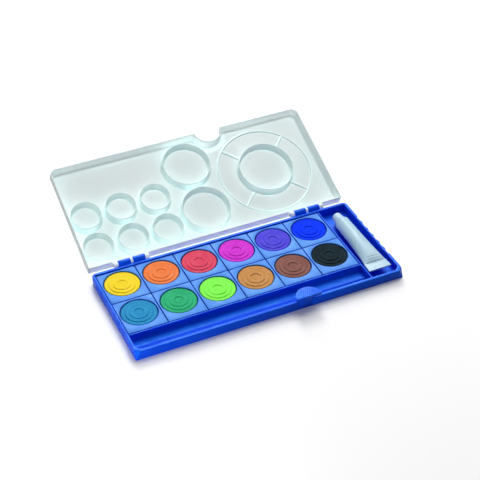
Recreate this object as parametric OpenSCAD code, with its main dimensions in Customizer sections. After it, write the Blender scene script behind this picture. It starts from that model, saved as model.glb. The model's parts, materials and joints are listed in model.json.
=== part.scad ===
// Box of twelve gouache pans with a brush trough, a tube of white and a mixing lid.
// The origin is the centre of the tray's underside: +X runs along the box, +Y to the hinge.
// The lid is drawn lying open, as far as it goes before its back edge meets the table.

/* [Paint pans] */
// Width of one pan, along the box
pan_w = 33; // [32.8:0.1:42]
// Depth of one pan, from its front edge to its back edge
pan_d = 36.9; // [35.5:0.1:48]
// Height of a pan above the tray floor
pan_h = 6.2; // [5:0.1:9]
// Gap between neighbouring pans, and between a pan and the tray
pan_gap = 1; // [0.4:0.1:1.2]
// Number of pans in a row
pan_columns = 6; // [5:1:7]
// Thickness of a pan's skirt and of its cup wall
pan_wall = 0.9; // [0.6:0.1:1.4]
// Thickness of the top plate and of the cup floor
pan_plate = 1.2; // [0.8:0.1:1.6]
// Diameter of the round cup that holds the paint
cup_d = 31.2; // [28:0.1:31.4]
// Distance from the pan's back edge to the cup
cup_back = 1; // [0.9:0.1:2]

/* [Paint cakes] */
// Gap between the cake and its cup, all round
cake_gap = 0.6; // [0.3:0.1:1.2]
// How far the edge of the cake lies below the pan's top
cake_drop = 0.4; // [0.3:0.1:1.2]
// Height of one step pressed into the cake
relief_h = 0.4; // [0.2:0.05:0.6]
// Width of each of the three pressed rings round the dimple in the middle
ring_step = 3.6; // [3:0.1:4.2]

/* [Tray] */
// Thickness of the tray's outer wall, which is the width of its rim
wall = 2.2; // [1.8:0.1:3]
// Thickness of the tray's floor
floor_t = 1.2; // [1:0.1:2.4]
// Height of the rim above the tops of the pans
rim_step = 1; // [0.5:0.1:2]
// Thickness of the rib in front of the pans and of the one beside the tube
rib_t = 1; // [0.8:0.1:2]
// Width of the brush trough, front to back
trough_w = 19; // [17:0.1:30]
// Width of the concave strip along the front of the trough's floor
scoop_w = 11; // [6:0.5:14]
// Height of that strip where it meets the front wall
scoop_h = 5.5; // [2:0.5:6]
// Width of the bay that holds the tube
tube_bay_w = 25.1; // [24.5:0.1:34]
// Radius of the tray's back corners
back_r = 4; // [1:0.5:5]
// Length of the diagonal cut at the rim's front corners
corner_cut = 4; // [2:0.5:5]
// Length of that cut where it ends at the table
corner_break = 0.5; // [0.3:0.1:1]
// Number of finger flutes in each end of the tray
flute_count = 6; // [3:1:8]
// Spacing of the finger flutes
flute_pitch = 9.7; // [9:0.1:11]
// Depth of a finger flute at the rim
flute_depth = 0.9; // [0.3:0.1:1.1]
// Radius of a finger flute
flute_r = 11; // [8:0.5:12]
// Height above the table at which the flutes fade out
flute_foot = 1.5; // [0.5:0.5:3]

/* [Hinge] */
// Distance from the tray's back face to the hinge axis
hinge_out = 2.9; // [2.8:0.1:4]
// Diameter of the hinge pin
pin_d = 2.4; // [1.8:0.1:2.4]
// Clearance all round the pin in its clips
pin_clear = 0.1; // [0.05:0.01:0.1]
// Outside diameter of a hinge clip
clip_d = 5.2; // [4.6:0.1:5.2]
// Length of one hinge clip
clip_l = 10.5; // [8:0.5:13]
// Width of the mouth that a clip snaps over the pin with
clip_mouth = 1.8; // [1:0.1:1.8]
// Distance from the end of the box to the middle of each hinge
hinge_in = 36.5; // [25:0.5:60]
// Width of the lid's arm between two clips
mid_arm_w = 1.8; // [1.2:0.1:3]
// Width of the lid's arms at the ends of a hinge
end_arm_w = 3.5; // [3:0.5:7]
// Diameter of an arm's round end
arm_d = 4.8; // [4.2:0.1:4.8]
// Gap between pieces that move past each other
move_gap = 0.3; // [0.3:0.05:0.5]

/* [Lid] */
// Thickness of the lid's walls
lid_wall = 1.4; // [1:0.1:2]
// Thickness of the lid's top
lid_top = 1.4; // [1:0.1:2]
// Clear height over the tube in the closed box
headroom = 2.3; // [1:0.1:4]
// Height of the lid's back edge over the table when the lid lies open
table_gap = 0.2; // [0.1:0.1:1]
// Length of the diagonal cut at the lid's front corners
lid_cut = 4; // [2:0.5:6]
// Radius of the lid's back corners
lid_back_r = 1.5; // [0.5:0.5:4]

/* [Mixing wells] */
// Diameter of a small well at its rim
small_d = 26; // [18:0.5:27]
// Gap between small wells
small_gap = 5.3; // [4:0.1:8]
// Diameter of a medium well at its rim
medium_d = 41.8; // [34:0.1:43]
// Gap between a medium well and the small wells beside it
medium_gap = 4.6; // [4:0.1:6]
// Diameter of the large well's rim
large_d = 48.2; // [36:0.1:50]
// Diameter of the low bead round the large well
bead_d = 84.6; // [70:0.1:86]
// Gap between the medium wells and the bead
bead_gap = 4; // [3:0.1:6]
// Height of the bead and of the ribs inside it
bead_h = 1; // [0.6:0.1:1.2]
// Width of the bead and of the ribs inside it
bead_w = 2; // [1:0.1:2.4]
// Distance from the lid's end to the first well
well_side = 2.9; // [2.5:0.1:5]
// Distance from the lid's back face to the small wells
well_near = 6.2; // [4:0.1:7]
// Thickness of a well's wall at its rim
well_wall = 0.9; // [0.8:0.1:1.6]
// How much thicker a well's wall is at its foot, on its inside
well_foot = 1.2; // [0.5:0.1:1.6]
// How far a well's rim lies inside the lid's rim
well_drop = 1.6; // [1.2:0.1:4]

/* [Latch] */
// Distance from the middle of the box to the latch
latch_x = 29.5; // [26:0.5:38]
// Radius of the half-round thumb plate
latch_r = 11; // [9:0.5:12]
// Thickness of the thumb plate
latch_t = 2.4; // [1.6:0.1:3]
// Height of the thumb plate's top above the tray's rim
latch_rise = 6; // [5:0.1:7]
// How far the thumb plate reaches out in front of the tray
latch_out = 2.9; // [1:0.1:4]
// Width of the springy tongue under the thumb plate
tongue_w = 12; // [8:0.5:14]
// How far the tongue stands to the left of the plate's middle
tongue_shift = 2.2; // [0:0.1:4]
// Thickness of the tongue above the rim
tongue_t = 1.6; // [1.2:0.1:2]
// Width of the hook under the thumb plate
hook_w = 8; // [5:0.5:10]
// Thickness of the hook
hook_t = 1.8; // [1.4:0.1:2.4]
// Gap that lets the hook pass the lid's catch
hook_gap = 0.4; // [0.3:0.1:0.8]
// Gap between the thumb plate and the notch in the lid, at the sides
notch_gap = 1.4; // [1:0.1:3]
// How deep the notch reaches into the lid
notch_depth = 11.3; // [10:0.1:13]
// How far the lid's catch stands out into the notch
catch_out = 1; // [0.6:0.1:1.2]
// Thickness of the lid's catch
catch_t = 0.8; // [0.6:0.1:1.2]

/* [Tube of white] */
// Diameter of the tube's round end
tube_d = 13.2; // [12:0.1:15]
// Length of the tube's body, from its shoulder to the crimp
tube_l = 57; // [48:1:59]
// Width of the crimped end
crimp_w = 19.6; // [18:0.1:22]
// Length of the crimped end
crimp_l = 9; // [6:0.5:10]
// Thickness of the crimped end
crimp_t = 1.4; // [1:0.1:2]
// How much wider the crimped end is at its edge, on each side
crimp_flare = 0.4; // [0:0.1:0.8]
// Gap between the crimped end and the rib beside it
tube_side = 0.8; // [0.4:0.1:2]
// Distance from the crimped end to the tray's front wall
tube_front = 7.5; // [4:0.1:8]
// Length of the cone between the body and the cap
shoulder_l = 2; // [1.5:0.1:3]
// Diameter of the neck under the cap
neck_d = 5.2; // [4:0.1:5.6]
// Length of the neck
neck_l = 5.5; // [4:0.1:6]
// Length of the cap
cap_l = 9.5; // [8:0.1:10]
// Diameter of the cap's foot
cap_foot_d = 10; // [8.5:0.1:11]
// Diameter of the cap's end
cap_end_d = 7.8; // [7:0.1:9]
// Clearance all round the neck in the cap
cap_clear = 0.1; // [0.05:0.01:0.1]

/* [Hidden] */
pan_rows = 2;
pitch_x = pan_w + pan_gap;
pitch_y = pan_d + pan_gap;
pan_bay_l = pan_gap + pan_columns * pitch_x;
pan_bay_d = pan_gap + pan_rows * pitch_y;
tray_l = 2 * wall + pan_bay_l + rib_t + tube_bay_w;
tray_d = 2 * wall + pan_bay_d + rib_t + trough_w;
tray_h = floor_t + pan_h + rim_step;
pan_top = floor_t + pan_h;
in_left = -tray_l / 2 + wall;
in_right = tray_l / 2 - wall;
in_back = tray_d / 2 - wall;
in_front = -tray_d / 2 + wall;
rib_y = in_back - pan_bay_d - rib_t;
divider_x = in_left + pan_bay_l;

cup_r = cup_d / 2;
cup_depth = pan_h - pan_plate;
cake_r = cup_r - cake_gap;
cake_h = cup_depth - cake_drop;

hinge_y = tray_d / 2 + hinge_out;
hinge_z = tray_h + move_gap;
hinge_x = tray_l / 2 - hinge_in;
pin_r = pin_d / 2;
clip_pair_l = 2 * clip_l + mid_arm_w + 2 * move_gap;

lid_depth = floor_t + tube_d + bead_h + headroom + lid_top - hinge_z;
lid_far = hinge_out + tray_d;
lid_rest = lid_depth > hinge_z - table_gap ? hinge_out : lid_far;
lid_reach = sqrt(lid_depth * lid_depth + lid_rest * lid_rest);
lid_tilt = acos((hinge_z - table_gap) / lid_reach) - atan(lid_rest / lid_depth);
lid_inside = lid_depth - lid_top;

well_h = lid_inside - well_drop;
small_pitch = small_d + small_gap;
large_wells_l = medium_gap + medium_d + bead_gap + bead_d;
small_columns = floor((tray_l - 2 * well_side + small_gap - large_wells_l) / small_pitch);
small_x = -tray_l / 2 + well_side + small_d / 2;
small_v = hinge_out + well_near + small_d / 2;
medium_x = small_x + (small_columns - 1) * small_pitch + (small_d + medium_d) / 2 + medium_gap;
medium_rows = 2;
medium_space = (tray_d - 2 * lid_wall - medium_rows * medium_d) / (medium_rows + 1);
medium_pitch = medium_d + medium_space;
medium_v = hinge_out + lid_wall + medium_space + medium_d / 2;
large_x = medium_x + medium_d / 2 + bead_gap + bead_d / 2;
large_v = medium_v + medium_pitch / 2;

notch_r = latch_r + notch_gap;
notch_v = lid_far + notch_r - notch_depth;
latch_y = -tray_d / 2 - latch_out;
latch_top = tray_h + latch_rise;
latch_under = latch_top - latch_t;
tongue_x = latch_x - tongue_shift;
tongue_y = -tray_d / 2 + wall / 2;
tongue_z = floor_t + wall / 2 + 2 * move_gap;
catch_y = hinge_y - lid_far + notch_depth;
hook_y = catch_y - catch_out - hook_gap;
catch_z = latch_under - hook_t - move_gap;

tube_x = divider_x + rib_t + tube_side + crimp_flare + crimp_w / 2;
tube_z = floor_t + tube_d / 2;
shoulder_y = in_front + tube_front + crimp_l + tube_l;

spread_power = 2.2;
flatten_power = 3;
tube_rings = 16;
tube_sides = 32;

skim = 0.01;
over = 1;
$fn = 96;

BLUE = [0.07, 0.22, 0.82];
PAN_BLUE = [0.36, 0.58, 1];
LID_WHITE = [0.88, 0.93, 0.92];
TUBE_WHITE = [0.84, 0.9, 0.88];
PAINTS = [
    [0.93, 0.79, 0.08], [0.95, 0.45, 0.15], [0.86, 0.16, 0.2],
    [0.78, 0.07, 0.45], [0.36, 0.16, 0.62], [0.02, 0.2, 0.95],
    [0.1, 0.5, 0.72], [0.04, 0.5, 0.38], [0.5, 0.85, 0.15],
    [0.68, 0.44, 0.16], [0.47, 0.2, 0.14], [0.06, 0.07, 0.07]
];
PAN_COUNT = pan_rows * pan_columns;
PAN_NODES = [for (i = [0:PAN_COUNT - 1]) str("pan_", i + 1)];
CAKE_NODES = [for (i = [0:PAN_COUNT - 1]) str("paint_cake_", i + 1)];
SMALL_COUNT = 2 * small_columns;
SMALL_NODES = [for (i = [0:SMALL_COUNT - 1]) str("small_mixing_well_", i + 1)];
MEDIUM_NODES = ["medium_mixing_well_1", "medium_mixing_well_2"];

// Outline of the box, seen from above, with cut front corners and round back corners
module box_outline(l, d, cut, r) {
    polygon([
        [-l / 2, -d / 2 + cut], [-l / 2 + cut, -d / 2], [l / 2 - cut, -d / 2],
        [l / 2, -d / 2 + cut], [l / 2, d / 2 - r], [l / 2 - r, d / 2],
        [-l / 2 + r, d / 2], [-l / 2, d / 2 - r]
    ]);
    for (side = [-1, 1])
        translate([side * (l / 2 - r), d / 2 - r])
            circle(r = r);
}

// Bay cut into the tray, from the floor up, given by its corners seen from above
module bay(x0, x1, y0, y1) {
    translate([x0, y0, floor_t])
        cube([x1 - x0, y1 - y0, tray_h]);
}

// Diagonal cut at one front corner of the rim, which fades out at the table
module rim_corner_cut(side) {
    lean = atan(corner_cut / sqrt(2) / tray_h);
    translate([side * tray_l / 2, -tray_d / 2, 0])
        rotate([0, 0, side * 45])
            rotate([-lean, 0, 0])
                translate([-2 * corner_cut, -2 * corner_cut, -over])
                    cube([4 * corner_cut, 2 * corner_cut, tray_h + 3 * over]);
}

// Material left in a bay's front corner, behind the diagonal cut
module corner_fill(x, side) {
    translate([x, in_front, 0])
        linear_extrude(tray_h)
            polygon([[0, 0], [-side * corner_cut, 0], [0, corner_cut]]);
}

// Flutes in the ends of the tray, deepest at the rim
module finger_flutes() {
    lean = atan(flute_depth / (tray_h - flute_foot));
    for (side = [-1, 1], i = [0:flute_count - 1])
        translate([
            side * (tray_l / 2 - flute_depth),
            (i - (flute_count - 1) / 2) * flute_pitch, tray_h
        ])
            rotate([0, -side * lean, 0])
                translate([side * flute_r, 0, -2 * tray_h])
                    cylinder(r = flute_r, h = 3 * tray_h);
}

// Concave strip along the front of the trough's floor
module trough_scoop() {
    scoop_r = (scoop_w * scoop_w + scoop_h * scoop_h) / (2 * scoop_h);
    difference() {
        translate([in_left, in_front, floor_t])
            cube([pan_bay_l, scoop_w, scoop_h]);
        translate([in_left - over, in_front + scoop_w, floor_t + scoop_r])
            rotate([0, 90, 0])
                cylinder(r = scoop_r, h = pan_bay_l + 2 * over);
    }
}

// Slot in the front wall in which the latch's tongue bends
module tongue_slot() {
    w = tongue_w + 2 * move_gap;
    translate([tongue_x - w / 2, -tray_d / 2 - over, tongue_z])
        cube([w, wall + over + move_gap, tray_h]);
    translate([tongue_x - w / 2, tongue_y, tongue_z])
        rotate([0, 90, 0])
            cylinder(r = wall / 2 + move_gap, h = w);
}

// C-shaped clip on the tray's back face that holds the hinge pin
module hinge_clip(x) {
    clip_r = clip_d / 2;
    difference() {
        union() {
            translate([x, hinge_y, hinge_z])
                rotate([0, 90, 0])
                    cylinder(r = clip_r, h = clip_l);
            translate([x, tray_d / 2 - wall / 2, hinge_z - clip_r])
                cube([clip_l, hinge_out + wall / 2, clip_r - move_gap]);
        }
        translate([x - over, hinge_y, hinge_z])
            rotate([0, 90, 0])
                cylinder(r = pin_r + pin_clear, h = clip_l + 2 * over);
        translate([x - over, hinge_y - clip_mouth / 2, hinge_z - clip_d])
            cube([clip_l + 2 * over, clip_mouth, clip_d]);
    }
}

module tray() {
    color(BLUE) {
        difference() {
            union() {
                difference() {
                    linear_extrude(tray_h)
                        box_outline(tray_l, tray_d, corner_break, back_r);
                    bay(in_left, divider_x, rib_y + rib_t, in_back);
                    bay(in_left, divider_x, in_front, rib_y);
                    bay(divider_x + rib_t, in_right, in_front, in_back);
                }
                corner_fill(in_left, -1);
                corner_fill(in_right, 1);
                trough_scoop();
            }
            finger_flutes();
            rim_corner_cut(-1);
            rim_corner_cut(1);
            tongue_slot();
            translate([in_left, rib_y, pan_top])
                cube([pan_bay_l, rib_t, tray_h]);
            translate([divider_x, in_front, pan_top])
                cube([rib_t, in_back - in_front, tray_h]);
        }
        for (side = [-1, 1], half = [0, 1])
            hinge_clip(side * hinge_x - clip_pair_l / 2 + half * (clip_pair_l - clip_l));
    }
}

// Places a piece in its pan bay, with the pan's back left corner at the origin
module in_bay(i) {
    column = i % pan_columns;
    row = floor(i / pan_columns);
    translate([
        in_left + pan_gap + column * pitch_x,
        in_back - pan_gap - row * pitch_y, floor_t
    ])
        children();
}

module pan(i) {
    color(PAN_BLUE)
        in_bay(i)
            difference() {
                translate([0, -pan_d, 0])
                    cube([pan_w, pan_d, pan_h]);
                translate([pan_w / 2, -cup_back - cup_r, pan_plate])
                    cylinder(r = cup_r, h = pan_h);
                difference() {
                    translate([pan_wall, pan_wall - pan_d, -over])
                        cube([pan_w - 2 * pan_wall, pan_d - 2 * pan_wall, cup_depth + over]);
                    translate([pan_w / 2, -cup_back - cup_r, -2 * over])
                        cylinder(r = cup_r + pan_wall, h = pan_h + 2 * over);
                }
            }
}

// Half section of a cake, which steps up twice to a raised ring round a dimple
module cake_section() {
    slope = relief_h / 2;
    middle = cake_h + relief_h;
    rise = cake_h + 2 * relief_h;
    outer_r = cake_r - ring_step;
    inner_r = outer_r - ring_step;
    dimple_r = inner_r - ring_step;
    polygon([
        [0, 0], [cake_r, 0], [cake_r, cake_h - slope], [cake_r - slope, cake_h],
        [outer_r + slope, cake_h], [outer_r, middle],
        [inner_r + slope, middle], [inner_r, rise],
        [dimple_r + slope, rise], [dimple_r, middle], [0, middle]
    ]);
}

module paint_cake(i) {
    color(PAINTS[i % len(PAINTS)])
        in_bay(i)
            translate([pan_w / 2, -cup_back - cup_r, pan_plate])
                rotate_extrude()
                    cake_section();
}

// Turns a piece from the lid's own frame to where it lies open. There x runs along the box,
// y away from the hinge axis, and z from the lid's top up to its rim at 0.
module on_lid() {
    translate([0, hinge_y, hinge_z])
        rotate([lid_tilt, 0, 0])
            children();
}

module lid_outline() {
    translate([0, hinge_out + tray_d / 2])
        mirror([0, 1])
            box_outline(tray_l, tray_d, lid_cut, lid_back_r);
}

module lid_inside_outline() {
    translate([0, hinge_out + tray_d / 2])
        mirror([0, 1])
            box_outline(tray_l - 2 * lid_wall, tray_d - 2 * lid_wall, lid_cut, lid_back_r);
}

module notch_circle(extra) {
    translate([latch_x, notch_v])
        circle(r = notch_r + extra);
}

// Arm of the lid that carries the hinge pin
module hinge_arm(x, w) {
    arm_r = arm_d / 2;
    lean = acos(arm_r / hinge_out);
    translate([x, 0, 0])
        rotate([90, 0, 90])
            linear_extrude(w) {
                circle(r = arm_r);
                polygon([
                    [0, -arm_r], [0, 0], [arm_r * cos(lean), arm_r * sin(lean)],
                    [hinge_out, 0], [hinge_out + lid_wall / 2, 0],
                    [hinge_out + lid_wall / 2, -lid_depth / 2], [hinge_out, -lid_depth / 2]
                ]);
            }
}

module lid_hinge_half(side) {
    left = side * hinge_x - clip_pair_l / 2;
    hinge_arm(left - move_gap - end_arm_w, end_arm_w);
    hinge_arm(left + clip_l + move_gap, mid_arm_w);
    hinge_arm(left + clip_pair_l + move_gap, end_arm_w);
    translate([left - move_gap - end_arm_w, 0, 0])
        rotate([0, 90, 0])
            cylinder(r = pin_r, h = clip_pair_l + 2 * (move_gap + end_arm_w));
}

// Ridge in the notch that the hook of the latch holds when the box is closed
module lid_catch() {
    z = hinge_z - catch_z;
    translate([latch_x - hook_w / 2, hinge_y - catch_y - lid_wall / 2, z])
        cube([hook_w, lid_wall / 2 + catch_out, catch_t]);
}

module lid() {
    color(LID_WHITE)
        on_lid() {
            difference() {
                translate([0, 0, -lid_depth])
                    linear_extrude(lid_depth)
                        difference() {
                            lid_outline();
                            notch_circle(0);
                        }
                translate([0, 0, -lid_inside])
                    linear_extrude(lid_depth)
                        difference() {
                            lid_inside_outline();
                            notch_circle(lid_wall);
                        }
            }
            lid_hinge_half(-1);
            lid_hinge_half(1);
            lid_catch();
        }
}

// Ring wall of a mixing well, standing on the inside of the lid's top
module well(x, v, d) {
    inside = d / 2 - well_wall / 2;
    outside = d / 2 + well_wall / 2;
    color(LID_WHITE)
        on_lid()
            translate([x, v, -lid_inside])
                rotate_extrude()
                    polygon([[inside - well_foot, 0], [outside, 0], [outside, well_h], [inside, well_h]]);
}

module small_mixing_well(i) {
    column = i % small_columns;
    row = floor(i / small_columns);
    well(small_x + column * small_pitch, small_v + row * small_pitch, small_d);
}

module medium_mixing_well(i) {
    well(medium_x, medium_v + i * medium_pitch, medium_d);
}

module large_mixing_well() {
    well(large_x, large_v, large_d);
}

// Low bead round the large well, with four ribs that part the space between them
module palette_bead() {
    r = bead_d / 2;
    rib_start = large_d / 2 + well_wall / 2;
    color(LID_WHITE)
        on_lid()
            translate([large_x, large_v, -lid_inside]) {
                rotate_extrude()
                    translate([r - bead_w / 2, 0])
                        square([bead_w, bead_h]);
                for (turn = [45:90:315])
                    rotate([0, 0, turn])
                        translate([rib_start, -bead_w / 2, 0])
                            cube([r - rib_start, bead_w, bead_h]);
            }
}

module latch_tab() {
    color(BLUE) {
        translate([tongue_x - tongue_w / 2, -tray_d / 2, tongue_z])
            cube([tongue_w, wall, tray_h - tongue_z]);
        translate([tongue_x - tongue_w / 2, tongue_y, tongue_z])
            rotate([0, 90, 0])
                cylinder(r = wall / 2, h = tongue_w);
        translate([tongue_x - tongue_w / 2, -tray_d / 2, tray_h - skim])
            cube([tongue_w, tongue_t, latch_under - tray_h + 2 * skim]);
        intersection() {
            translate([latch_x, latch_y, latch_under])
                cylinder(r = latch_r, h = latch_t);
            translate([latch_x - latch_r - over, latch_y, latch_under - over])
                cube([2 * (latch_r + over), latch_r + over, latch_t + 2 * over]);
        }
        translate([latch_x - hook_w / 2, -tray_d / 2, latch_under - hook_t])
            cube([hook_w, hook_y + tray_d / 2, hook_t + skim]);
    }
}

// Places a piece on the tube's axis: its own z runs from the shoulder to the cap
module on_tube() {
    translate([tube_x, shoulder_y, tube_z])
        rotate([-90, 0, 0])
            children();
}

// Half width and half height of the tube's body, s of the way from shoulder to crimp
function tube_half_w(s) = tube_d / 2 + (crimp_w - tube_d) / 2 * pow(s, spread_power);
function tube_half_h(s) = max(crimp_t / 2, tube_d / 2 * sqrt(1 - pow(s, flatten_power)));

module tube_body() {
    rings = tube_rings;
    sides = tube_sides;
    points = [
        for (i = [0:rings], k = [0:sides - 1])
            let (s = i / rings, a = 360 * k / sides)
                [tube_half_w(s) * cos(a), tube_half_h(s) * sin(a), -s * tube_l]
    ];
    walls = [
        for (i = [0:rings - 1], k = [0:sides - 1])
            let (n = (k + 1) % sides, p = i * sides, q = (i + 1) * sides)
                each [[p + k, q + n, p + n], [p + k, q + k, q + n]]
    ];
    first = [for (k = [0:sides - 1]) k];
    last = [for (k = [0:sides - 1]) rings * sides + sides - 1 - k];
    color(TUBE_WHITE)
        on_tube()
            polyhedron(points, concat(walls, [first, last]));
}

// Flat crimped end, a little wider at its edge
module tube_crimp() {
    color(TUBE_WHITE)
        on_tube()
            translate([0, crimp_t / 2, -tube_l])
                rotate([90, 0, 0])
                    linear_extrude(crimp_t)
                        polygon([
                            [-crimp_w / 2, 0], [crimp_w / 2, 0],
                            [crimp_w / 2 + crimp_flare, -crimp_l], [-crimp_w / 2 - crimp_flare, -crimp_l]
                        ]);
}

module tube_neck() {
    color(TUBE_WHITE)
        on_tube() {
            cylinder(r1 = tube_d / 2, r2 = cap_foot_d / 2, h = shoulder_l);
            translate([0, 0, shoulder_l - skim])
                cylinder(r = neck_d / 2, h = neck_l + skim);
        }
}

module tube_cap() {
    bore_r = neck_d / 2 + cap_clear;
    seat = shoulder_l + move_gap;
    color(TUBE_WHITE)
        on_tube()
            translate([0, 0, seat])
                difference() {
                    cylinder(r1 = cap_foot_d / 2, r2 = cap_end_d / 2, h = cap_l - move_gap);
                    translate([0, 0, -over])
                        cylinder(r = bore_r, h = neck_l + over);
                }
}

tray();
lid();
large_mixing_well();
palette_bead();
latch_tab();
tube_body();
tube_crimp();
tube_neck();
tube_cap();
for (i = [0:PAN_COUNT - 1]) pan(i);
for (i = [0:PAN_COUNT - 1]) paint_cake(i);
for (i = [0:SMALL_COUNT - 1]) small_mixing_well(i);
for (i = [0:1]) medium_mixing_well(i);
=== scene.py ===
import json
import math

import bmesh
import bpy
from mathutils import Matrix, Vector, noise

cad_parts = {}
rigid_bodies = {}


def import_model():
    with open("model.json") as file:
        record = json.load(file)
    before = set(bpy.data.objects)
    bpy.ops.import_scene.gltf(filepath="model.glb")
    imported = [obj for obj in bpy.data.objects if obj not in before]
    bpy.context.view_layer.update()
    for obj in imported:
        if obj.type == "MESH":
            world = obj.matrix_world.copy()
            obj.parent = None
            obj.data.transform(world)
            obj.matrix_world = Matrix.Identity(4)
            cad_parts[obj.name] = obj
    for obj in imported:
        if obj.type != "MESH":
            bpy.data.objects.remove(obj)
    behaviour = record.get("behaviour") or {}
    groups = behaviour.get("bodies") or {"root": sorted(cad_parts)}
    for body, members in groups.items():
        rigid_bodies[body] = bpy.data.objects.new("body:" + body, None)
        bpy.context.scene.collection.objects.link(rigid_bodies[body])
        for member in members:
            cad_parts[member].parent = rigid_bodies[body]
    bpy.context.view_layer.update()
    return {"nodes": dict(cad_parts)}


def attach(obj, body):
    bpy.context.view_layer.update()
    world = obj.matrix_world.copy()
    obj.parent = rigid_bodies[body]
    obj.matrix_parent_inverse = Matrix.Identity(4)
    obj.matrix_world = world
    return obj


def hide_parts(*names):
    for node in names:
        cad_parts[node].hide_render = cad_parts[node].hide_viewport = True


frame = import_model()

# Sizes of the box in millimetres. v is the distance from the hinge along the lid
MM = 0.001
TRAY_L = 235.5
TRAY_D = 101.2
FLOOR_T = 1.2
PAN_W = 33.0
PAN_D = 36.9
PAN_GAP = 1.0
PAN_H = 6.2
PAN_PLATE = 1.2
WALL = 2.2
COLUMNS = 6
CUP_R = 15.6
CUP_BACK = 1.0
CAKE_R = 14.6
CAKE_FLOOR = FLOOR_T + PAN_PLATE
CAKE_TOP = FLOOR_T + PAN_H + 0.4
HINGE_OUT = 2.9
HINGE_Y = TRAY_D / 2 + HINGE_OUT
HINGE_Z = 8.7
HINGE_X = 81.25
CLIP_L = 10.5
MID_ARM_W = 1.8
END_ARM_W = 3.5
ARM_R = 2.4
PIN_R = 1.2
MOVE_GAP = 0.3
LID_DEPTH = 10.4
LID_WALL = 1.4
LID_TOP = 1.4
LID_TILT = 22.488
LID_FAR = HINGE_OUT + TRAY_D
LID_CUT = 4.0
LID_BACK_R = 1.5
NOTCH_X = 29.5
NOTCH_V = 105.2
NOTCH_R = 12.4
WELL_H = 7.4
WELL_TOP = 0.45
SMALL_R = 13.0
SMALL_X = -101.85
SMALL_V = 22.1
SMALL_PITCH = 31.3
MEDIUM_R = 20.9
MEDIUM_X = -0.75
MEDIUM_V = 30.133
MEDIUM_PITCH = 46.733
LARGE_R = 24.1
LARGE_X = 66.45
LARGE_V = 53.5
BEAD_R = 42.3
BEAD_W = 2.0
BEAD_H = 1.0
LATCH_X = 29.5
LATCH_Y = -TRAY_D / 2 - 2.9
LATCH_R = 11.0
LATCH_TOP = 14.4
TUBE_X = 101.45
TUBE_Z = 7.8
TUBE_R = 6.6
SHOULDER_Y = 25.1
TUBE_L = 57.0
CRIMP_W = 19.6
CRIMP_L = 9.0
CRIMP_T = 1.4
CRIMP_FLARE = 0.4
SHOULDER_L = 2.0
NECK_R = 2.6
NECK_L = 5.5
CAP_L = 9.5
CAP_FOOT_R = 5.0
CAP_END_R = 3.9

LID_PLACE = (
    Matrix.Scale(MM, 4)
    @ Matrix.Translation((0, HINGE_Y, HINGE_Z))
    @ Matrix.Rotation(math.radians(LID_TILT), 4, "X")
)
MM_PLACE = Matrix.Scale(MM, 4)

# A Mix node's two colour inputs and its colour output, by number as their names aren't unique
MIX_FIRST, MIX_SECOND, MIX_COLOUR = 6, 7, 2


# Colours and materials

def linear(*rgb):
    """A colour written as it shows on a screen, from 0 to 255, as the shaders take it."""
    def channel(c):
        c /= 255
        return c / 12.92 if c <= 0.04045 else ((c + 0.055) / 1.055) ** 2.4
    return tuple(channel(c) for c in rgb) + (1.0,)


class Finish:
    """A procedural material, built up node by node on Object coordinates."""

    def __init__(self, name, roughness, **sockets):
        self.material = bpy.data.materials.new(name)
        self.material.use_nodes = True
        self.tree = self.material.node_tree
        self.shader = self.tree.nodes["Principled BSDF"]
        self.shader.inputs["Roughness"].default_value = roughness
        for socket, value in sockets.items():
            self.shader.inputs[socket.replace("_", " ")].default_value = value
        self.place = self.add("ShaderNodeTexCoord").outputs["Object"]
        self.height = None

    def add(self, kind, **settings):
        node = self.tree.nodes.new(kind)
        for name, value in settings.items():
            setattr(node, name, value)
        return node

    def link(self, source, target):
        self.tree.links.new(source, target)

    def noise(self, size, detail=2.0, stretch=(1, 1, 1), turn=0):
        """Noise with patches about size millimetres across, turned by degrees on a level face."""
        mapping = self.add("ShaderNodeMapping")
        mapping.inputs["Scale"].default_value = stretch
        mapping.inputs["Rotation"].default_value = (0, 0, math.radians(turn))
        self.link(self.place, mapping.inputs["Vector"])
        pattern = self.add("ShaderNodeTexNoise")
        pattern.inputs["Scale"].default_value = 1 / (size * MM)
        pattern.inputs["Detail"].default_value = detail
        self.link(mapping.outputs["Vector"], pattern.inputs["Vector"])
        return pattern.outputs["Fac"]

    def spread(self, value, low, high, source_low=0.35, source_high=0.65):
        """value, which lies mostly between the two source limits, brought to low..high."""
        node = self.add("ShaderNodeMapRange")
        node.inputs["From Min"].default_value = source_low
        node.inputs["From Max"].default_value = source_high
        node.inputs["To Min"].default_value = low
        node.inputs["To Max"].default_value = high
        self.link(value, node.inputs["Value"])
        return node.outputs["Result"]

    def colour_between(self, first, second, factor):
        """A base colour that goes from the first, where factor is 0, to the second."""
        mix = self.add("ShaderNodeMix", data_type="RGBA")
        mix.inputs[MIX_FIRST].default_value = first
        mix.inputs[MIX_SECOND].default_value = second
        self.link(factor, mix.inputs[0])
        self.link(mix.outputs[MIX_COLOUR], self.shader.inputs["Base Color"])

    def rough_between(self, low, high, factor):
        self.link(self.spread(factor, low, high), self.shader.inputs["Roughness"])

    def bump(self, height, depth):
        """Raises the surface by depth millimetres where height is 1."""
        node = self.add("ShaderNodeBump")
        node.inputs["Distance"].default_value = depth * MM
        self.link(height, node.inputs["Height"])
        if self.height is not None:
            self.link(self.height, node.inputs["Normal"])
        self.height = node.outputs["Normal"]
        self.link(self.height, self.shader.inputs["Normal"])


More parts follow.
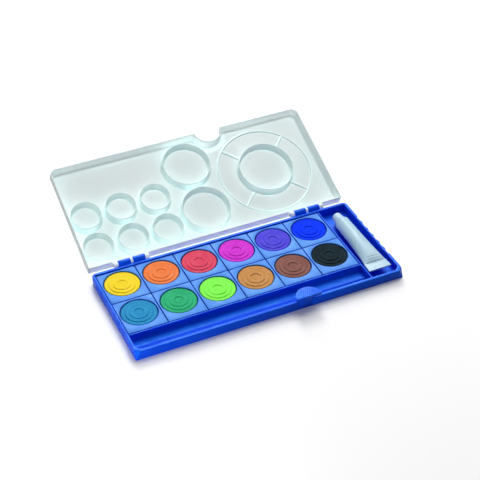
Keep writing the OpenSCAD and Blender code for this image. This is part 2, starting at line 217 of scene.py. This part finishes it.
def moulded_blue(name, dark, light, roughness, grain, gloss):
    """Moulded plastic with slow shifts of colour and a fine pressed grain."""
    finish = Finish(
        name, roughness, IOR=1.5, Specular_IOR_Level=gloss, Specular_Tint=(0.0, 0.6, 1, 1),
    )
    slow = finish.noise(38, 1.0)
    finish.colour_between(linear(*dark), linear(*light), finish.spread(slow, 0, 1))
    finish.rough_between(roughness - 0.05, roughness + 0.08, finish.noise(6, 3.0))
    finish.bump(finish.noise(grain, 2.0), 0.012)
    finish.bump(finish.noise(9, 1.0), 0.03)
    return finish


def tray_blue():
    return moulded_blue("tray_royal_blue", (12, 66, 228), (18, 74, 236), 0.45, 0.5, 0.6).material


def grained_blue():
    """The pans' blue, lighter than the tray's, with the faint slanting brush marks of its mould."""
    finish = moulded_blue("pan_light_blue", (78, 134, 230), (88, 142, 236), 0.46, 0.35, 0.3)
    finish.bump(finish.noise(0.9, 2.0, (1.0, 0.16, 1.0), 40), 0.07)
    return finish.material


def milky_plastic(name, glow, reach):
    """Cloudy plastic: glow is the share of light that goes in, reach how far it gets in metres."""
    finish = Finish(
        name, 0.4, IOR=1.49, Specular_IOR_Level=0.3,
        Subsurface_Weight=glow, Subsurface_Scale=reach, Subsurface_Radius=(1.0, 0.85, 0.85),
    )
    slow = finish.noise(45, 1.5)
    finish.colour_between(linear(234, 254, 253), linear(238, 255, 254), finish.spread(slow, 0, 1))
    finish.rough_between(0.34, 0.46, finish.noise(5, 2.0))
    finish.bump(finish.noise(0.7, 2.0), 0.008)
    finish.bump(finish.noise(16, 1.0), 0.02)
    return finish.material


def gouache(name, colour, dusty):
    """Dry pressed paint: matte, a little chalky, with fine grains."""
    finish = Finish(name, 0.86, Specular_IOR_Level=0.08)
    chalk = finish.noise(1.6, 4.0)
    patch = finish.noise(9, 2.0)
    both = finish.add("ShaderNodeMath", operation="MULTIPLY")
    finish.link(finish.spread(chalk, 0, 1), both.inputs[0])
    finish.link(finish.spread(patch, 0.2, 1), both.inputs[1])
    finish.colour_between(linear(*colour), linear(*dusty), both.outputs[0])
    finish.rough_between(0.74, 0.95, chalk)
    finish.bump(finish.noise(0.35, 3.0), 0.03)
    finish.bump(chalk, 0.05)
    return finish.material


def laminate(name, colour, shade, roughness):
    """Smooth plastic or laminate with long shallow dents and slow shifts of colour."""
    finish = Finish(name, roughness, Specular_IOR_Level=0.45)
    slow = finish.noise(11, 2.0, (1, 0.35, 1))
    finish.colour_between(linear(*colour), linear(*shade), finish.spread(slow, 0, 1))
    finish.rough_between(roughness - 0.06, roughness + 0.08, finish.noise(3, 2.0))
    finish.bump(finish.noise(7, 2.0, (1, 0.3, 1)), 0.1)
    finish.bump(finish.noise(0.5, 2.0), 0.006)
    return finish.material


TRAY_BLUE = tray_blue()
PAN_BLUE = grained_blue()
MILKY = milky_plastic("milky_lid_plastic", 0.6, 0.006)
MILKY_RINGS = milky_plastic("milky_ring_plastic", 0.2, 0.003)
TUBE_WHITE = laminate("tube_laminate_white", (166, 201, 219), (180, 211, 227), 0.4)
CAP_WHITE = laminate("cap_white", (178, 206, 228), (172, 200, 222), 0.44)
PAINTS = [
    gouache("gouache_" + name, colour, dusty)
    for name, colour, dusty in (
        ("yellow", (250, 220, 40), (254, 228, 72)),
        ("orange", (244, 128, 68), (250, 148, 92)),
        ("red", (224, 72, 101), (234, 96, 120)),
        ("magenta", (212, 50, 210), (224, 76, 222)),
        ("violet", (82, 71, 220), (102, 92, 232)),
        ("ultramarine", (0, 54, 250), (8, 66, 254)),
        ("turquoise", (42, 145, 200), (60, 162, 214)),
        ("green", (45, 178, 119), (66, 196, 138)),
        ("lime_green", (134, 254, 84), (152, 255, 108)),
        ("ochre", (200, 142, 80), (216, 162, 104)),
        ("brown", (134, 86, 78), (152, 108, 100)),
        ("black", (14, 30, 36), (34, 54, 64)),
    )
]


# Mesh making

def piece_from(bm, name, place, material, crease=35):
    """A finished object from a bmesh in millimetres, shaded smooth up to that angle."""
    bmesh.ops.remove_doubles(bm, verts=bm.verts, dist=1e-4)
    bmesh.ops.recalc_face_normals(bm, faces=bm.faces)
    mesh = bpy.data.meshes.new(name)
    bm.to_mesh(mesh)
    bm.free()
    mesh.transform(place)
    mesh.polygons.foreach_set("use_smooth", [True] * len(mesh.polygons))
    mesh.set_sharp_from_angle(angle=math.radians(crease))
    mesh.materials.append(material)
    piece = bpy.data.objects.new(name, mesh)
    bpy.context.scene.collection.objects.link(piece)
    return piece


def settle(piece, body, slot, *nodes):
    """Puts a piece on its body in place of CAD nodes. The lid lets light by and casts no shadow."""
    piece.visible_shadow = slot != "lid_plastic"
    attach(piece, body)
    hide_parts(*nodes)


def bridge(bm, rings):
    """Faces between neighbouring rings of points that have the same count."""
    for near, far in zip(rings, rings[1:]):
        for i in range(len(near)):
            j = (i + 1) % len(near)
            bm.faces.new((near[i], near[j], far[j], far[i]))


def bridge_closed(bm, rings):
    """The same, with a face over the first and the last ring."""
    bridge(bm, rings)
    bm.faces.new(rings[0])
    bm.faces.new(rings[-1])


def turned(bm, profile, sides):
    """A profile of (radius, height) turned about the vertical axis."""
    turns = [2 * math.pi * i / sides for i in range(sides)]
    bridge_closed(bm, [
        [bm.verts.new((radius * math.cos(turn), radius * math.sin(turn), height)) for turn in turns]
        for radius, height in profile
    ])


def rounded(points, radius, steps=4):
    """An open profile with each inner corner rounded to the radius that fits."""
    smooth = [points[0]]
    for before, corner, after in zip(points, points[1:], points[2:]):
        corner, before, after = Vector(corner), Vector(before), Vector(after)
        reach = min(radius, (before - corner).length * 0.45, (after - corner).length * 0.45)
        start = corner + (before - corner).normalized() * reach
        end = corner + (after - corner).normalized() * reach
        for i in range(steps + 1):
            t = i / steps
            spot = start * (1 - t) ** 2 + corner * 2 * t * (1 - t) + end * t * t
            smooth.append(tuple(spot))
    smooth.append(points[-1])
    return smooth


def arc(centre, radius, first, last, steps):
    """Points on an arc between two angles in degrees."""
    for i in range(steps + 1):
        angle = math.radians(first + (last - first) * i / steps)
        yield centre[0] + radius * math.cos(angle), centre[1] + radius * math.sin(angle)


def softened(node, name, width, material):
    """A copy of a CAD node with its outer edges broken, as a mould leaves them."""
    bm = bmesh.new()
    bm.from_mesh(frame["nodes"][node].data)
    bmesh.ops.remove_doubles(bm, verts=bm.verts, dist=1e-6)
    bmesh.ops.dissolve_limit(bm, angle_limit=math.radians(0.6), verts=bm.verts, edges=bm.edges)
    sharp = [
        edge for edge in bm.edges
        if len(edge.link_faces) == 2 and edge.calc_face_angle_signed(0) > math.radians(32)
    ]
    bevel(bm, sharp, width * MM)
    for vert in bm.verts:
        vert.co /= MM
    return piece_from(bm, name, MM_PLACE, material)


def bevel(bm, edges, width):
    bmesh.ops.bevel(
        bm, geom=edges, offset=width, segments=2, profile=0.5, affect="EDGES", clamp_overlap=True,
    )


# The lid

def lid_outline(inset):
    """The lid's outline drawn in by inset, counted from near the hinge and to the right."""
    left, right = -TRAY_L / 2 + inset, TRAY_L / 2 - inset
    near, far = HINGE_OUT + inset, LID_FAR - inset
    radius = max(LID_BACK_R - inset, 0.8)
    cut = LID_CUT - inset * (2 - math.sqrt(2))
    soft = 1.0
    ease = soft * math.tan(math.radians(22.5))
    points = []
    points += arc((left + radius, near + radius), radius, 180, 270, 6)
    points += arc((right - radius, near + radius), radius, 270, 360, 6)
    points += arc((right - soft, far - cut - ease), soft, 0, 45, 4)
    points += arc((right - cut - ease, far - soft), soft, 45, 90, 4)
    reach = NOTCH_R + inset
    drop = far - NOTCH_V
    half = math.sqrt(reach * reach - drop * drop)
    start = math.degrees(math.atan2(drop, half))
    points += arc((NOTCH_X, NOTCH_V), reach, start, -180 - start, 40)
    points += arc((left + cut + ease, far - soft), soft, 90, 135, 4)
    points += arc((left + soft, far - cut - ease), soft, 135, 180, 4)
    return filled(points)


def filled(points):
    """The outline with more points on its straight parts, close to the corners and between."""
    long_part, close_by, parts = 30, 0.5, 8
    close = []
    for here, there in zip(points, points[1:] + points[:1]):
        close.append(here)
        length = math.dist(here, there)
        if length > long_part:
            steps = [close_by / length, *(i / parts for i in range(1, parts)), 1 - close_by / length]
            close += [tuple(a + (b - a) * t for a, b in zip(here, there)) for t in steps]
    return close


def lid_section():
    """(inset, height) from the middle of the lid's outside, over the rim, to its inside."""
    outside, lip, inside = 2.8, 0.3, 1.9
    floor = -LID_DEPTH + LID_TOP
    section = [(7, -LID_DEPTH), (outside + 1, -LID_DEPTH)]
    section += arc((outside, -LID_DEPTH + outside), outside, 270, 180, 6)
    section += arc((lip, -lip), lip, 180, 90, 3)
    section += arc((LID_WALL - lip, -lip), lip, 90, 0, 3)
    section += [(LID_WALL + 0.05, -LID_DEPTH / 3)]
    section += arc((LID_WALL + 0.1 + inside, floor + inside), inside, 180, 270, 10)
    section += [(LID_WALL + inside + 1.2, floor)]
    return section


def add_lid_shell(bm):
    rings = [
        [bm.verts.new((x, v, height)) for x, v in lid_outline(inset)]
        for inset, height in lid_section()
    ]
    bridge(bm, rings)
    for ring in (rings[0], rings[-1]):
        bmesh.ops.triangulate(bm, faces=[bm.faces.new(ring)], ngon_method="EAR_CLIP")


def add_prism(bm, outline, x0, x1):
    """An outline of (v, z) drawn from x0 to x1."""
    bridge_closed(bm, [[bm.verts.new((x, v, z)) for v, z in outline] for x in (x0, x1)])


def add_hinge_arm(bm, x, width):
    lean = math.degrees(math.acos(ARM_R / HINGE_OUT))
    outline = list(arc((0, 0), ARM_R, lean, 270, 24))
    outline += [
        (HINGE_OUT, -LID_DEPTH / 2), (HINGE_OUT + LID_WALL / 2, -LID_DEPTH / 2),
        (HINGE_OUT + LID_WALL / 2, -0.25), (HINGE_OUT, -0.1),
    ]
    add_prism(bm, outline, x, x + width)


def add_lid_hinge(bm, side):
    pair = 2 * CLIP_L + MID_ARM_W + 2 * MOVE_GAP
    left = side * HINGE_X - pair / 2
    add_hinge_arm(bm, left - MOVE_GAP - END_ARM_W, END_ARM_W)
    add_hinge_arm(bm, left + CLIP_L + MOVE_GAP, MID_ARM_W)
    add_hinge_arm(bm, left + pair + MOVE_GAP, END_ARM_W)
    pin = list(arc((0, 0), PIN_R, 0, 345, 23))
    add_prism(bm, pin, left - 1, left + pair + 1)


def add_lid_catch(bm):
    outline = [(92.1, -1.2), (93.5, -1.2), (93.8, -0.9), (93.8, -0.7), (93.4, -0.4), (92.1, -0.4)]
    add_prism(bm, outline, LATCH_X - 4, LATCH_X + 4)


def make_lid():
    bm = bmesh.new()
    add_lid_shell(bm)
    shell = piece_from(bm, "lid_shell", LID_PLACE, MILKY, 40)
    settle(shell, "lid", "lid_plastic", "lid")
    bm = bmesh.new()
    add_lid_hinge(bm, -1)
    add_lid_hinge(bm, 1)
    add_lid_catch(bm)
    bevel(bm, [edge for edge in bm.edges if edge.calc_face_angle(0) > math.radians(50)], 0.3)
    arms = piece_from(bm, "lid_hinge_arms", LID_PLACE, MILKY, 40)
    settle(arms, "lid", "lid_plastic", "lid")


# Shapes that repeat, made by node trees

class Shape:
    """A geometry node tree with named inputs, built up node by node, in millimetres."""

    KINDS = {"Columns": "NodeSocketInt", "Rows": "NodeSocketInt", "Material": "NodeSocketMaterial"}

    def __init__(self, name, *labels):
        self.tree = bpy.data.node_groups.new(name, "GeometryNodeTree")
        self.tree.interface.new_socket("Geometry", in_out="OUTPUT", socket_type="NodeSocketGeometry")
        self.sockets = {}
        for label in labels + ("Material",):
            kind = self.KINDS.get(label, "NodeSocketFloat")
            socket = self.tree.interface.new_socket(label, in_out="INPUT", socket_type=kind)
            self.sockets[label] = socket.identifier
        self.given = self.add("NodeGroupInput").outputs

    def add(self, kind, **inputs):
        node = self.tree.nodes.new(kind)
        for label, value in inputs.items():
            self.feed(node, label.replace("_", " "), value)
        return node

    def feed(self, node, socket, value):
        """A socket fed by another node's output, or set to a plain value."""
        if isinstance(value, bpy.types.NodeSocket):
            self.tree.links.new(value, node.inputs[socket])
        else:
            node.inputs[socket].default_value = value

    def calc(self, operation, *values):
        node = self.add("ShaderNodeMath")
        node.operation = operation
        for i, value in enumerate(values):
            self.feed(node, i, value)
        return node.outputs[0]

    def position(self):
        """The x, y and z of each point as separate values."""
        spot = self.add("GeometryNodeInputPosition")
        return self.add("ShaderNodeSeparateXYZ", Vector=spot.outputs[0]).outputs

    def finish(self, geometry):
        """Ends the tree with real geometry in the given material."""
        real = self.add("GeometryNodeRealizeInstances", Geometry=geometry)
        paint = self.add("GeometryNodeSetMaterial", Geometry=real.outputs[0])
        self.feed(paint, "Material", self.given["Material"])
        self.add("NodeGroupOutput", Geometry=paint.outputs[0])

    def grown(self, **values):
        """The mesh that the tree makes with these values, as a bmesh."""
        seed = bpy.data.objects.new("seed", bpy.data.meshes.new("seed"))
        bpy.context.scene.collection.objects.link(seed)
        modifier = seed.modifiers.new("nodes", "NODES")
        modifier.node_group = self.tree
        for label, value in values.items():
            modifier[self.sockets[label.replace("_", " ")]] = value
        graph = bpy.context.evaluated_depsgraph_get()
        mesh = bpy.data.meshes.new_from_object(seed.evaluated_get(graph))
        seed.modifiers.remove(modifier)
        bpy.data.objects.remove(seed)
        bm = bmesh.new()
        bm.from_mesh(mesh)
        bpy.data.meshes.remove(mesh)
        return bm


def ring_wall_shape():
    """Rings on a grid of columns and rows, with a rounded top and a flared foot."""
    shape = Shape(
        "ring_walls", "Radius", "Height", "Sink", "Half Width", "Draft", "Foot",
        "Columns", "Rows", "Pitch",
    )
    given, calc = shape.given, shape.calc
    around, across = 112, 36
    foot_power, squareness = 5.0, 0.32
    strip = shape.add(
        "GeometryNodeMeshGrid", Size_X=1.0, Size_Y=1.0, Vertices_X=around + 1, Vertices_Y=across + 1,
    )
    where = shape.position()
    turn = calc("MULTIPLY", where[0], 2 * math.pi)
    section = calc("MULTIPLY", where[1], 2 * math.pi)
    side = calc("COSINE", section)
    rise = calc("MULTIPLY_ADD", calc("SINE", section), 0.5, 0.5)
    below = calc("SUBTRACT", 1.0, rise)
    half = calc("MULTIPLY_ADD", given["Draft"], below, given["Half Width"])
    half = calc("MULTIPLY_ADD", given["Foot"], calc("POWER", below, foot_power), half)
    bulge = calc("POWER", calc("ABSOLUTE", side), squareness)
    offset = calc("MULTIPLY", calc("MULTIPLY", calc("SIGN", side), bulge), half)
    reach = calc("ADD", given["Radius"], offset)
    whole = calc("ADD", given["Height"], given["Sink"])
    spot = shape.add(
        "ShaderNodeCombineXYZ",
        X=calc("MULTIPLY", reach, calc("COSINE", turn)),
        Y=calc("MULTIPLY", reach, calc("SINE", turn)),
        Z=calc("SUBTRACT", calc("MULTIPLY", rise, whole), given["Sink"]),
    )
    bend = shape.add(
        "GeometryNodeSetPosition", Geometry=strip.outputs["Mesh"], Position=spot.outputs[0],
    )
    weld = shape.add("GeometryNodeMergeByDistance", Geometry=bend.outputs[0], Distance=1e-4)
    spots = shape.add(
        "GeometryNodeMeshGrid",
        Size_X=calc("MULTIPLY", calc("SUBTRACT", given["Columns"], 1.0), given["Pitch"]),
        Size_Y=calc("MULTIPLY", calc("SUBTRACT", given["Rows"], 1.0), given["Pitch"]),
        Vertices_X=given["Columns"], Vertices_Y=given["Rows"],
    )
    copies = shape.add(
        "GeometryNodeInstanceOnPoints", Points=spots.outputs["Mesh"], Instance=weld.outputs[0],
    )
    shape.finish(copies.outputs[0])
    return shape


def stipple_shape():
    """Small round pips on a staggered grid, kept inside a half disc."""
    shape = Shape("stipple", "Radius", "Pitch", "Pip")
    given, calc = shape.given, shape.calc
    count, front_gap, flatness = 13, 0.9, 0.48
    width = calc("MULTIPLY", given["Pitch"], count - 1.0)
    grid = shape.add(
        "GeometryNodeMeshGrid", Size_X=width, Size_Y=width, Vertices_X=count, Vertices_Y=count,
    )
    row = calc("ROUND", calc("DIVIDE", shape.position()[1], given["Pitch"]))
    odd = calc("ABSOLUTE", calc("MODULO", row, 2.0))
    half_pitch = calc("MULTIPLY", given["Pitch"], 0.5)
    shift = shape.add("ShaderNodeCombineXYZ", X=calc("MULTIPLY", odd, half_pitch))
    stagger = shape.add(
        "GeometryNodeSetPosition", Geometry=grid.outputs["Mesh"], Offset=shift.outputs[0],
    )
    moved = shape.position()
    squares = calc("ADD", calc("MULTIPLY", moved[0], moved[0]), calc("MULTIPLY", moved[1], moved[1]))
    inside = calc("LESS_THAN", calc("SQRT", squares), given["Radius"])
    front = calc("GREATER_THAN", moved[1], front_gap)
    pip = shape.add("GeometryNodeMeshIcoSphere", Radius=given["Pip"], Subdivisions=2)
    copies = shape.add(
        "GeometryNodeInstanceOnPoints", Points=stagger.outputs[0], Instance=pip.outputs["Mesh"],
        Selection=calc("MULTIPLY", inside, front), Scale=(1, 1, flatness),
    )
    shape.finish(copies.outputs[0])
    return shape


# The mixing wells

RING_WALLS = ring_wall_shape()


def ring_walls(name, radius, x, v, nodes, columns=1, rows=1, pitch=0.0, low=False):
    bm = RING_WALLS.grown(
        Radius=radius, Height=BEAD_H if low else WELL_H, Sink=0.25,
        Half_Width=BEAD_W / 2 - 0.45 if low else WELL_TOP - 0.1,
        Draft=0.45 if low else 0.2, Foot=0.7 if low else 2.2,
        Columns=columns, Rows=rows, Pitch=pitch, Material=MILKY_RINGS,
    )
    middle = (x + (columns - 1) * pitch / 2, v + (rows - 1) * pitch / 2, -LID_DEPTH + LID_TOP)
    if low:
        add_bead_ribs(bm)
    piece = piece_from(bm, name, LID_PLACE @ Matrix.Translation(middle), MILKY_RINGS, 60)
    settle(piece, "lid", "lid_plastic", *nodes)


def add_bead_ribs(bm):
    """Four low ribs between the large well and the bead."""
    start, end = LARGE_R + 0.3, BEAD_R
    half = BEAD_W / 2
    foot, lean, sink = half + 0.3, half - 0.35, -0.2
    section = rounded([(-foot, sink), (-lean, BEAD_H), (lean, BEAD_H), (foot, sink)], 0.6)
    for turn in (45, 135, 225, 315):
        spin = Matrix.Rotation(math.radians(turn), 3, "Z")
        rings = [[bm.verts.new(spin @ Vector((r, w, h))) for w, h in section] for r in (start, end)]
        bridge_closed(bm, rings)


def make_wells():
    small = ["small_mixing_well_%d" % (i + 1) for i in range(6)]
    medium = ["medium_mixing_well_1", "medium_mixing_well_2"]
    ring_walls("small_well_walls", SMALL_R, SMALL_X, SMALL_V, small, 3, 2, SMALL_PITCH)
    ring_walls("medium_well_walls", MEDIUM_R, MEDIUM_X, MEDIUM_V, medium, 1, 2, MEDIUM_PITCH)
    ring_walls("large_well_wall", LARGE_R, LARGE_X, LARGE_V, ["large_mixing_well"])
    ring_walls("low_bead", BEAD_R, LARGE_X, LARGE_V, ["palette_bead"], low=True)


# The tray with its pans and paints

def make_tray():
    tray = softened("tray", "tray_moulding", 0.3, TRAY_BLUE)
    settle(tray, "tray", "tray_plastic", "tray")


def make_pans():
    for i in range(2 * COLUMNS):
        number = str(i + 1)
        pan = softened("pan_" + number, "pan_moulding_" + number, 0.2, PAN_BLUE)
        settle(pan, "pan_set_" + number, "pan_plastic", "pan_" + number)


def cake_profile():
    """(radius, height) of a cake, from its low middle over three rings with grooves between."""
    r, top = CAKE_R, CAKE_TOP
    points = [
        (0.35, top - 0.5), (3.2, top - 0.46), (3.7, top - 0.74), (4.1, top - 0.03), (4.6, top),
        (7.0, top), (7.5, top - 0.06), (7.8, top - 0.74), (8.3, top - 0.46), (10.6, top - 0.42),
        (11.1, top - 0.48), (11.4, top - 1.14), (11.9, top - 0.86), (r - 0.6, top - 0.82),
        (r - 0.15, top - 0.92), (r, top - 1.3), (r - 0.1, CAKE_FLOOR + 0.05),
    ]
    return rounded(points, 0.16, 3)


def make_cakes():
    for i in range(2 * COLUMNS):
        column, row = i % COLUMNS, i // COLUMNS
        x = -TRAY_L / 2 + WALL + PAN_GAP + column * (PAN_W + PAN_GAP) + PAN_W / 2
        y = TRAY_D / 2 - WALL - PAN_GAP - row * (PAN_D + PAN_GAP) - CUP_BACK - CUP_R
        bm = bmesh.new()
        turned(bm, cake_profile()[::-1], 120)
        shift = Vector((31.7 * i, 17.3 * i, 5.1 * i))
        for vert in bm.verts:
            broad = noise.noise(vert.co * 0.45 + shift) * 0.05
            fine = noise.noise(vert.co * 1.9 + shift) * 0.025
            vert.co.z += broad + fine if vert.co.z > CAKE_FLOOR + 1 else 0
            vert.co += Vector((x, y, 0))
        number = str(i + 1)
        slot = PAINTS[i].name.replace("gouache_", "paint_")
        cake = piece_from(bm, "pressed_paint_" + number, MM_PLACE, PAINTS[i], 50)
        settle(cake, "pan_set_" + number, slot, "paint_cake_" + number)


# The latch with its stippled thumb plate

def make_latch():
    tab = softened("latch_tab", "latch_tongue", 0.3, TRAY_BLUE)
    settle(tab, "latch", "latch_plastic", "latch_tab")
    bm = stipple_shape().grown(Radius=LATCH_R - 1.0, Pitch=1.9, Pip=0.58, Material=TRAY_BLUE)
    place = MM_PLACE @ Matrix.Translation((LATCH_X, LATCH_Y, LATCH_TOP - 0.03))
    pips = piece_from(bm, "latch_stipple", place, TRAY_BLUE, 80)
    settle(pips, "latch", "latch_plastic", "latch_tab")


# The tube of white

TUBE_PLACE = (
    MM_PLACE
    @ Matrix.Translation((TUBE_X, SHOULDER_Y, TUBE_Z))
    @ Matrix.Rotation(math.radians(-90), 4, "X")
)
TUBE_CREASES = (0.918, 0.957)
CREASE_DEPTH = 0.28
CREASE_WIDTH = 0.35


def tube_section(along):
    """Half width and half height of the body, from 0 at the shoulder to 1 at the crimp."""
    half_w = TUBE_R + (CRIMP_W / 2 - TUBE_R) * along ** 2.2
    half_h = max(CRIMP_T / 2, TUBE_R * math.sqrt(max(0, 1 - along ** 3)))
    for crease in TUBE_CREASES:
        half_h -= CREASE_DEPTH * math.exp(-(((along - crease) * TUBE_L) / CREASE_WIDTH) ** 2)
    return half_w, half_h


def make_tube_body():
    """The body with shallow dents, which fade towards both of its ends."""
    bm = bmesh.new()
    sides, steps = 96, 190
    rings = []
    for i in range(steps + 1):
        along = i / steps
        half_w, half_h = tube_section(along)
        fade = math.sin(math.pi * min(1, along * 1.15)) ** 0.5
        ring = []
        for k in range(sides):
            angle = 2 * math.pi * k / sides
            spot = Vector((half_w * math.cos(angle), half_h * math.sin(angle), -along * TUBE_L))
            dent = noise.noise(Vector((spot.x * 0.14, spot.y * 0.14, spot.z * 0.045))) - 0.35
            squeeze = 1 + 0.028 * min(0, dent) * fade
            ring.append(bm.verts.new((spot.x * squeeze, spot.y * squeeze, spot.z)))
        rings.append(ring)
    bridge_closed(bm, rings)
    body = piece_from(bm, "tube_foil_body", TUBE_PLACE, TUBE_WHITE, 60)
    settle(body, "tube", "tube_laminate", "tube_body")


def make_tube_crimp():
    """The flat end, thicker beyond the line where it is folded over."""
    bm = bmesh.new()
    rows = 60
    fold, fold_sharpness = 0.42, 60
    rings = []
    for i in range(rows + 1):
        along = i / rows
        at_end = i in (0, rows)
        half_w = CRIMP_W / 2 + CRIMP_FLARE * along - (0.25 if at_end else 0)
        folded = 1 / (1 + math.exp((fold - along) * fold_sharpness))
        half_t = CRIMP_T / 2 * (0.66 + 0.34 * folded) - (0.2 if at_end else 0)
        outline = rounded([(-half_w, 0), (-half_w, half_t), (half_w, half_t), (half_w, 0)], 0.3, 3)
        outline += [(x, -h) for x, h in outline[-2:0:-1]]
        rings.append([bm.verts.new((x, h, -TUBE_L - along * CRIMP_L)) for x, h in outline])
    bridge_closed(bm, rings)
    crimp = piece_from(bm, "tube_folded_end", TUBE_PLACE, TUBE_WHITE, 60)
    settle(crimp, "tube", "tube_laminate", "tube_crimp")


def make_tube_neck_and_cap():
    bm = bmesh.new()
    turned(bm, rounded([
        (TUBE_R - 0.5, -0.2), (TUBE_R, 0), (TUBE_R, 0.3), (CAP_FOOT_R + 0.3, SHOULDER_L - 0.2),
        (CAP_FOOT_R - 0.4, SHOULDER_L), (NECK_R, SHOULDER_L), (NECK_R, SHOULDER_L + NECK_L),
    ], 0.4), 96)
    neck = piece_from(bm, "tube_shoulder", TUBE_PLACE, TUBE_WHITE, 40)
    settle(neck, "tube", "tube_laminate", "tube_neck")

    bm = bmesh.new()
    low, high = SHOULDER_L + MOVE_GAP, SHOULDER_L + CAP_L
    bore = NECK_R + 0.1
    turned(bm, rounded([
        (bore, high - 4), (bore, low), (CAP_FOOT_R - 0.25, low), (CAP_FOOT_R, low + 0.4),
        (CAP_END_R + 0.1, high - 0.9), (CAP_END_R - 0.9, high), (0.4, high),
    ], 0.5), 96)
    cap = piece_from(bm, "tube_screw_cap", TUBE_PLACE, CAP_WHITE, 40)
    settle(cap, "cap", "cap_plastic", "tube_cap")


# The floor, the lamps and the camera

def seen_rays(tree):
    """1 for the rays that show a surface in the picture, in a reflection or through glass."""
    rays = tree.nodes.new("ShaderNodeLightPath")
    total = rays.outputs["Is Camera Ray"]
    for kind in ("Is Glossy Ray", "Is Transmission Ray"):
        add = tree.nodes.new("ShaderNodeMath")
        add.use_clamp = True
        tree.links.new(total, add.inputs[0])
        tree.links.new(rays.outputs[kind], add.inputs[1])
        total = add.outputs[0]
    return total


def make_floor():
    """Paper that is white where it is seen and grey where it only throws light back."""
    half_side = 6
    grey, own_glow = 0.3, 0.06
    bm = bmesh.new()
    for x, y in ((-1, -1), (1, -1), (1, 1), (-1, 1)):
        bm.verts.new((x * half_side, y * half_side, 0))
    bm.faces.new(bm.verts)
    mesh = bpy.data.meshes.new("studio_floor")
    bm.to_mesh(mesh)
    bm.free()
    floor = bpy.data.objects.new("studio_floor", mesh)
    bpy.context.scene.collection.objects.link(floor)
    material = bpy.data.materials.new("white_paper")
    material.use_nodes = True
    nodes, links = material.node_tree.nodes, material.node_tree.links
    shader = nodes["Principled BSDF"]
    shader.inputs["Roughness"].default_value = 0.9
    shader.inputs["Specular IOR Level"].default_value = 0.0
    seen = seen_rays(material.node_tree)
    colour = nodes.new("ShaderNodeMix")
    colour.data_type = "RGBA"
    colour.inputs[MIX_FIRST].default_value = (grey, grey, grey, 1)
    colour.inputs[MIX_SECOND].default_value = (1, 1, 1, 1)
    links.new(seen, colour.inputs[0])
    links.new(colour.outputs[MIX_COLOUR], shader.inputs["Base Color"])
    glow = nodes.new("ShaderNodeMath")
    glow.operation = "MULTIPLY"
    glow.inputs[1].default_value = own_glow
    links.new(seen, glow.inputs[0])
    shader.inputs["Emission Color"].default_value = (1, 1, 1, 1)
    links.new(glow.outputs[0], shader.inputs["Emission Strength"])
    mesh.materials.append(material)


def make_sky():
    """A sky that is white where it is seen and gives only a little light."""
    world = bpy.data.worlds.new("studio_sky")
    world.use_nodes = True
    nodes, links = world.node_tree.nodes, world.node_tree.links
    sky = nodes["Background"]
    sky.inputs["Color"].default_value = (1, 1, 1, 1)
    sky.inputs["Strength"].default_value = 0.08
    white = nodes.new("ShaderNodeBackground")
    white.inputs["Strength"].default_value = 1.0
    mix = nodes.new("ShaderNodeMixShader")
    links.new(seen_rays(world.node_tree), mix.inputs[0])
    links.new(sky.outputs[0], mix.inputs[1])
    links.new(white.outputs[0], mix.inputs[2])
    links.new(mix.outputs[0], nodes["World Output"].inputs[0])
    bpy.context.scene.world = world


def lamp(name, spot, aim, size, power):
    """A flat lamp of that width and height, turned towards a point."""
    light = bpy.data.lights.new(name, "AREA")
    light.shape = "RECTANGLE"
    light.size, light.size_y = size
    light.energy = power
    holder = bpy.data.objects.new(name, light)
    holder.location = spot
    holder.rotation_euler = (Vector(aim) - Vector(spot)).to_track_quat("-Z", "Y").to_euler()
    bpy.context.scene.collection.objects.link(holder)
    return holder


def make_lamps():
    """A soft main lamp behind, two for the gloss of level faces, and two low ones at the left."""
    lamp("key_lamp", (1.05, 1.25, 2.516), (0, 0.03, 0), (2.3, 2.3), 73)
    lamp("gloss_lamp", (0.44, 1.5, 1.26), (0, 0, 0), (0.56, 0.56), 15)
    lamp("low_gloss_lamp", (0.55, 1.65, 0.74), (0, 0, 0), (0.7, 0.56), 6)
    lamp("side_lamp", (-0.7, 0.12, 0.1), (-0.1, 0.1, 0.02), (0.3, 0.1), 0.45)
    fill = lamp("fill_lamp", (-0.26, -0.21, 0.02), (0, 0, 0.005), (0.14, 0.025), 0.46)

    # The fill lamp would burn out the lid, so of the lid it lights only the hinge arms
    spared = bpy.data.collections.new("not_lit_by_fill_lamp")
    lid_pieces = ("lid_shell", "small_well", "medium_well", "large_well", "low_bead")
    for piece in bpy.data.objects:
        if piece.name.startswith(lid_pieces):
            spared.objects.link(piece)
    fill.light_linking.receiver_collection = spared
    for entry in spared.collection_objects:
        entry.light_linking.link_state = "EXCLUDE"


def make_camera():
    """The camera of the photograph: no roll, no shift, and its lens worked out in pixels."""
    azimuth, elevation = math.radians(-24.722), math.radians(38.899)
    image_px, focal_px, sensor_mm = 480, 1262.3, 36
    back = Vector((
        math.sin(azimuth) * math.cos(elevation), -math.cos(azimuth) * math.cos(elevation),
        math.sin(elevation),
    ))
    across = Vector((0, 0, 1)).cross(back).normalized()
    up = back.cross(across)
    camera = bpy.data.cameras.new("photo_camera")
    camera.sensor_width = sensor_mm
    camera.lens = focal_px / image_px * sensor_mm
    camera.clip_end = 20
    holder = bpy.data.objects.new("photo_camera", camera)
    turn = Matrix((across, up, back)).transposed().to_4x4()
    holder.matrix_world = Matrix.Translation((-0.33541, -0.71346, 0.67824)) @ turn
    bpy.context.scene.collection.objects.link(holder)
    bpy.context.scene.camera = holder


make_lid()
make_wells()
make_tray()
make_pans()
make_cakes()
make_latch()
make_tube_body()
make_tube_crimp()
make_tube_neck_and_cap()
make_floor()
make_sky()
make_lamps()
make_camera()
bpy.context.scene.view_settings.view_transform = "Standard"
